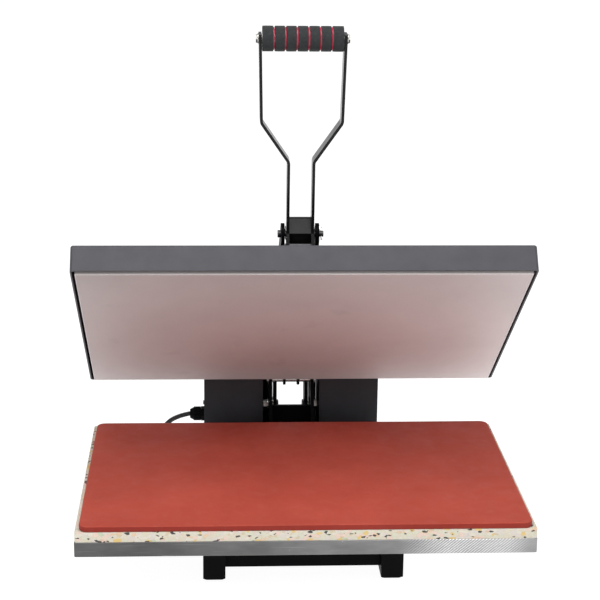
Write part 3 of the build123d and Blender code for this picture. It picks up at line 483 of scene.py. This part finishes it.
GREY_EDGE = (0.28, 0.28, 0.29)
materials = {
    "black_paint": paint("black_paint", (0.003, 0.003, 0.0036), 0.42, GREY_EDGE, 0.25, 0.25, 0.04),
    "gloss_black": paint("gloss_black", (0.007, 0.007, 0.0075), 0.2, GREY_EDGE, 0.15, 0.08, 0.2),
    "head_paint": paint("head_paint", (0.063, 0.0625, 0.073), 0.42, (0.24, 0.24, 0.26), 0.3, 0.2, 0.3),
    "box_paint": paint("box_paint", (0.034, 0.0325, 0.038), 0.5, GREY_EDGE, 0.3, 0.25, 0.35),
    "milled_aluminium": milled_aluminium(),
    "heater_aluminium": heater_aluminium(),
    "red_silicone": silicone(),
    "rebond_foam": rebond_foam(),
    "insulation_wool": insulation_wool(),
    "zinc_steel": metal("zinc_steel", (0.62, 0.61, 0.58), 0.26),
    "dark_steel": metal("dark_steel", (0.1, 0.1, 0.105), 0.38),
    "element_steel": metal("element_steel", (0.34, 0.3, 0.27), 0.45, 0.3),
    "grip_foam": grip_foam(),
    "ring_red": plastic("ring_red", (0.68, 0.018, 0.075), 0.35),
    "black_plastic": plastic("black_plastic", (0.0035, 0.0035, 0.0038), 0.5, Specular_IOR_Level=0.05),
    "plug_black": plastic("plug_black", (0.017, 0.017, 0.018), 0.5),
    "rocker_red": plastic("rocker_red", (0.5, 0.015, 0.012), 0.28),
    "black_rubber": plastic("black_rubber", (0.009, 0.009, 0.009), 0.85, 700, 0.5, Specular_IOR_Level=0.2),
    "cord_black": plastic("cord_black", (0.015, 0.015, 0.016), 0.5, 1500, 0.2),
    "relay_grey": plastic("relay_grey", (0.1, 0.1, 0.1), 0.5),
    "board_green": plastic("board_green", (0.02, 0.12, 0.05), 0.35, speckle=0.8),
    "panel_film": plastic("panel_film", (0.3, 0.32, 0.34), 0.4),
    "display_glass": display_glass(),
    "button_grey": plastic("button_grey", (0.34, 0.34, 0.35), 0.5),
    "pin_chrome": metal("pin_chrome", (0.72, 0.71, 0.69), 0.16),
}


def dress_cad():
    """Gives every CAD node the material of its record slot."""
    for entry in frame["record"]["subparts"]:
        piece = nodes[entry["node"]]
        piece.data.materials.clear()
        piece.data.materials.append(materials[entry["material_slot"]])


dress_cad()


# ---- mesh helpers -------------------------------------------------------------
def soft_piece(name, mesh, slot, body, replaced):
    """A mesh that stands in for CAD soft solids, in its material and on its body."""
    piece = bpy.data.objects.new(name, mesh)
    bpy.context.scene.collection.objects.link(piece)
    piece.data.materials.append(materials[slot])
    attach(piece, body)
    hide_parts(*replaced)


def smooth(mesh, angle):
    """Smooth shading, with edges sharper than the angle kept sharp."""
    mesh.shade_smooth()
    mesh.set_sharp_from_angle(angle=math.radians(angle))


# ---- mains lead ---------------------------------------------------------------
def coil_points():
    """Two flat layers of turns: inwards at the table, then outwards on top of them."""
    pitch = 2 * CORD_RADIUS
    points = []
    for layer, count in enumerate(COIL_LAYERS):
        level = COIL_LIFT + CORD_RADIUS + layer * pitch
        for k in range(count):
            spread = 0.5 - k / count if layer == 0 else k / count - 0.5
            radius = COIL_RADIUS + spread * 2 * pitch
            angle = COIL_START - COIL_STEP * (k + layer * COIL_LAYERS[0])
            turn = Vector((radius * math.cos(angle), radius * math.sin(angle), level))
            points.append(COIL_CENTRE + turn)
    return points


def mains_lead():
    """From the gland down to the table, round the coil and across to the plug."""
    table_turn = COIL_LIFT + CORD_RADIUS
    upper_turn = COIL_LIFT + 3 * CORD_RADIUS
    route = [
        EXIT,
        EXIT + Vector((-0.024, 0.0005, -0.005)),
        EXIT + Vector((-0.043, 0.0025, -0.024)),
        EXIT + Vector((-0.057, 0.0045, -0.050)),
        EXIT + Vector((-0.074, 0.007, -0.073)),
        COIL_CENTRE + Vector((-0.002, -0.0474, table_turn + 0.0026)),
    ]
    route += coil_points()
    route += [
        COIL_CENTRE + Vector((-0.002, 0.045, upper_turn)),
        COIL_CENTRE + Vector((0.016, 0.044, upper_turn + 0.0012)),
        COIL_CENTRE + Vector((0.036, 0.036, 0.0173)),
        COIL_CENTRE + Vector((0.052, 0.032, 0.0185)),
    ]
    curve = bpy.data.curves.new("mains_lead", "CURVE")
    curve.dimensions = "3D"
    curve.bevel_depth = CORD_RADIUS
    curve.bevel_resolution = 5
    curve.resolution_u = 6
    curve.use_fill_caps = True
    spline = curve.splines.new("NURBS")
    spline.points.add(len(route) - 1)
    for point, at in zip(spline.points, route):
        point.co = (*at, 1)
    spline.order_u = 3
    spline.use_endpoint_u = True
    lead = bpy.data.objects.new("mains_lead", curve)
    bpy.context.scene.collection.objects.link(lead)
    curve.materials.append(materials["cord_black"])
    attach(lead, "base")
    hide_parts("mains_cord", "cord_coil", "cord_tail")


mains_lead()


# ---- foam grip ----------------------------------------------------------------
def lathe(rings, sides, origin, axis, across):
    """A closed tube of rings (distance along the axis, radius) about a line."""
    up = axis.cross(across)
    mesh = bmesh.new()
    loops = []
    for along, radius in rings:
        loop = []
        for k in range(sides):
            angle = 2 * math.pi * k / sides
            direction = across * math.cos(angle) + up * math.sin(angle)
            loop.append(mesh.verts.new(origin + axis * along + direction * radius))
        loops.append(loop)
    for near, far in zip(loops, loops[1:] + loops[:1]):
        for k in range(sides):
            n = (k + 1) % sides
            mesh.faces.new((near[k], near[n], far[n], far[k]))
    bmesh.ops.recalc_face_normals(mesh, faces=mesh.faces)
    return mesh


def roll_profile(start, end):
    """One roll (distance along the grip, radius), each end hollowed under a thin rim."""
    notch_floor = GRIP_RADIUS - NOTCH_DEPTH
    notch = []
    for step in range(NOTCH_STEPS + 1):
        sunk = 1 - math.sin(math.pi / 2 * step / NOTCH_STEPS)
        notch.append((NOTCH_LENGTH * sunk, GRIP_RADIUS - NOTCH_DEPTH * sunk ** 1.3))
    middle = (start + end) / 2
    rings = [(start, GRIP_BORE), (start, notch_floor)]
    rings += [(start + inset, radius) for inset, radius in notch]
    rings.append((middle - GRIP_FLAT, GRIP_RADIUS + GRIP_CROWN))
    rings.append((middle + GRIP_FLAT, GRIP_RADIUS + GRIP_CROWN))
    rings += [(end - inset, radius) for inset, radius in reversed(notch)]
    return rings + [(end, notch_floor), (end, GRIP_BORE)]


def foam_grip():
    """Seven foam rolls side by side, parted by narrow grooves, their skin slightly uneven."""
    low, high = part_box("foam_grip")
    pitch = (high.x - low.x) / GRIP_SEGMENTS
    centre = HANDLE_PIN + HANDLE_UP * GRIP_HEIGHT
    whole = bmesh.new()
    for k in range(GRIP_SEGMENTS):
        start = low.x + k * pitch + (GRIP_GAP / 2 if k else 0)
        end = low.x + (k + 1) * pitch - (GRIP_GAP / 2 if k < GRIP_SEGMENTS - 1 else 0)
        roll = lathe(roll_profile(start, end), GRIP_SIDES, centre, Vector((1, 0, 0)), HANDLE_UP)
        part = bpy.data.meshes.new("roll")
        roll.to_mesh(part)
        roll.free()
        whole.from_mesh(part)
    for vertex in whole.verts:
        wobble = math.sin(vertex.co.x * 900) * math.cos(vertex.co.z * 700) * GRIP_WOBBLE
        away = vertex.co - centre
        away.x = 0
        if away.length > GRIP_RADIUS * 0.8:
            vertex.co += away.normalized() * wobble
    mesh = bpy.data.meshes.new("grip_foam_rolls")
    whole.to_mesh(mesh)
    whole.free()
    smooth(mesh, 60)
    soft_piece("grip_foam_rolls", mesh, "grip_foam", "handle", ["foam_grip"])


foam_grip()


# ---- mat and foam pad ---------------------------------------------------------
def rounded_outline(width, length, corner, steps):
    """A rectangle with rounded corners about the origin, counter-clockwise."""
    points = []
    for quarter, (sx, sy) in enumerate(((1, 1), (-1, 1), (-1, -1), (1, -1))):
        centre = Vector((sx * (width / 2 - corner), sy * (length / 2 - corner)))
        for k in range(steps + 1):
            angle = math.pi / 2 * (quarter + k / steps)
            points.append(centre + Vector((math.cos(angle), math.sin(angle))) * corner)
    return points


def slab(name, node, corner, edge, slot, relax):
    """A soft sheet on the base, as big as its CAD solid: rolled edges, a top rippled by relax."""
    low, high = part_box(node)
    width, length, height = high.x - low.x, high.y - low.y, high.z - low.z
    middle = (low + high) / 2
    mesh = bmesh.new()
    profile = [(edge, 0.0)]
    for k in range(EDGE_STEPS + 1):
        angle = math.pi / 2 * k / EDGE_STEPS
        profile.append((edge - edge * math.sin(angle), edge - edge * math.cos(angle)))
    for k in range(EDGE_STEPS + 1):
        angle = math.pi / 2 * k / EDGE_STEPS
        profile.append((edge - edge * math.cos(angle), height - edge + edge * math.sin(angle)))
    for inset in TOP_INSETS:
        profile.append((edge + inset, height))
    loops = []
    for inset, up in profile:
        tight = max(corner - inset, SMALLEST_CORNER)
        ring = rounded_outline(width - 2 * inset, length - 2 * inset, tight, CORNER_STEPS)
        loops.append([mesh.verts.new((middle.x + p.x, middle.y + p.y, low.z + up)) for p in ring])
    for near, far in zip(loops, loops[1:]):
        count = len(near)
        for k in range(count):
            n = (k + 1) % count
            mesh.faces.new((near[k], near[n], far[n], far[k]))
    mesh.faces.new(loops[-1])
    mesh.faces.new(list(reversed(loops[0])))
    bmesh.ops.recalc_face_normals(mesh, faces=mesh.faces)
    long_edges = [e for e in mesh.edges if e.calc_length() > 0.05]
    bmesh.ops.subdivide_edges(mesh, edges=long_edges, cuts=9, use_grid_fill=True)
    for vertex in mesh.verts:
        if vertex.co.z > high.z - 0.0005:
            ripple = math.sin(vertex.co.x * 23 + 1) * math.sin(vertex.co.y * 31 + 2)
            vertex.co.z -= relax * (0.5 + 0.5 * ripple)
    data = bpy.data.meshes.new(name)
    mesh.to_mesh(data)
    mesh.free()
    smooth(data, 35)
    soft_piece(name, data, slot, "base", [node])


slab("mat_sheet", "silicone_mat", corner=0.012, edge=0.0016, slot="red_silicone", relax=0.00025)
slab("foam_sheet", "foam_pad", corner=0.003, edge=0.0008, slot="rebond_foam", relax=0.0)


# ---- light and floor ----------------------------------------------------------
def area_light(name, location, aim, size, power):
    """A white rectangular lamp, turned towards a point."""
    data = bpy.data.lights.new(name, "AREA")
    data.shape = "RECTANGLE"
    data.size = size[0]
    data.size_y = size[1]
    data.energy = power
    light = bpy.data.objects.new(name, data)
    bpy.context.scene.collection.objects.link(light)
    light.location = location
    light.rotation_euler = (Vector(aim) - Vector(location)).to_track_quat("-Z", "Y").to_euler()


def make_sky():
    """White at the horizon, grey overhead."""
    world = bpy.data.worlds.new("studio")
    world.use_nodes = True
    sky = world.node_tree
    source = sky.nodes.new("ShaderNodeTexCoord")
    height = axes(sky, source.outputs["Generated"])["Z"]
    shade = ramp(sky, height, [(0.06, 1.0), (0.22, 0.38)])
    link(sky, shade, sky.nodes["Background"].inputs["Color"])
    bpy.context.scene.world = world


def make_floor():
    """A wide white floor with a glow of its own, so that it stays white in the render."""
    mesh = bmesh.new()
    bmesh.ops.create_grid(mesh, x_segments=2, y_segments=2, size=FLOOR_HALF)
    data = bpy.data.meshes.new("floor")
    mesh.to_mesh(data)
    mesh.free()
    floor = bpy.data.objects.new("floor", data)
    bpy.context.scene.collection.objects.link(floor)
    glow = {"Emission_Color": (1, 1, 1, 1), "Emission_Strength": FLOOR_GLOW}
    material, tree, shader = new_material("floor_white", 0.9, **glow)
    grain = ramp(tree, noise(tree, place(tree), 3, 3), [(0.3, 0.2), (0.7, 0.23)])
    link(tree, grain, shader.inputs["Base Color"])
    floor.data.materials.append(material)


bpy.context.scene.view_settings.view_transform = "Standard"
make_sky()
make_floor()
area_light("key", (-1.6, -2.2, 2.6), MACHINE_MIDDLE, (1.1, 1.1), 30)
area_light("fill", (2.2, -1.6, 1.8), MACHINE_MIDDLE, (1.1, 1.4), 12)
area_light("top", (0, -0.8, 2.9), (0, 0, 0), (2.4, 2.0), 48)
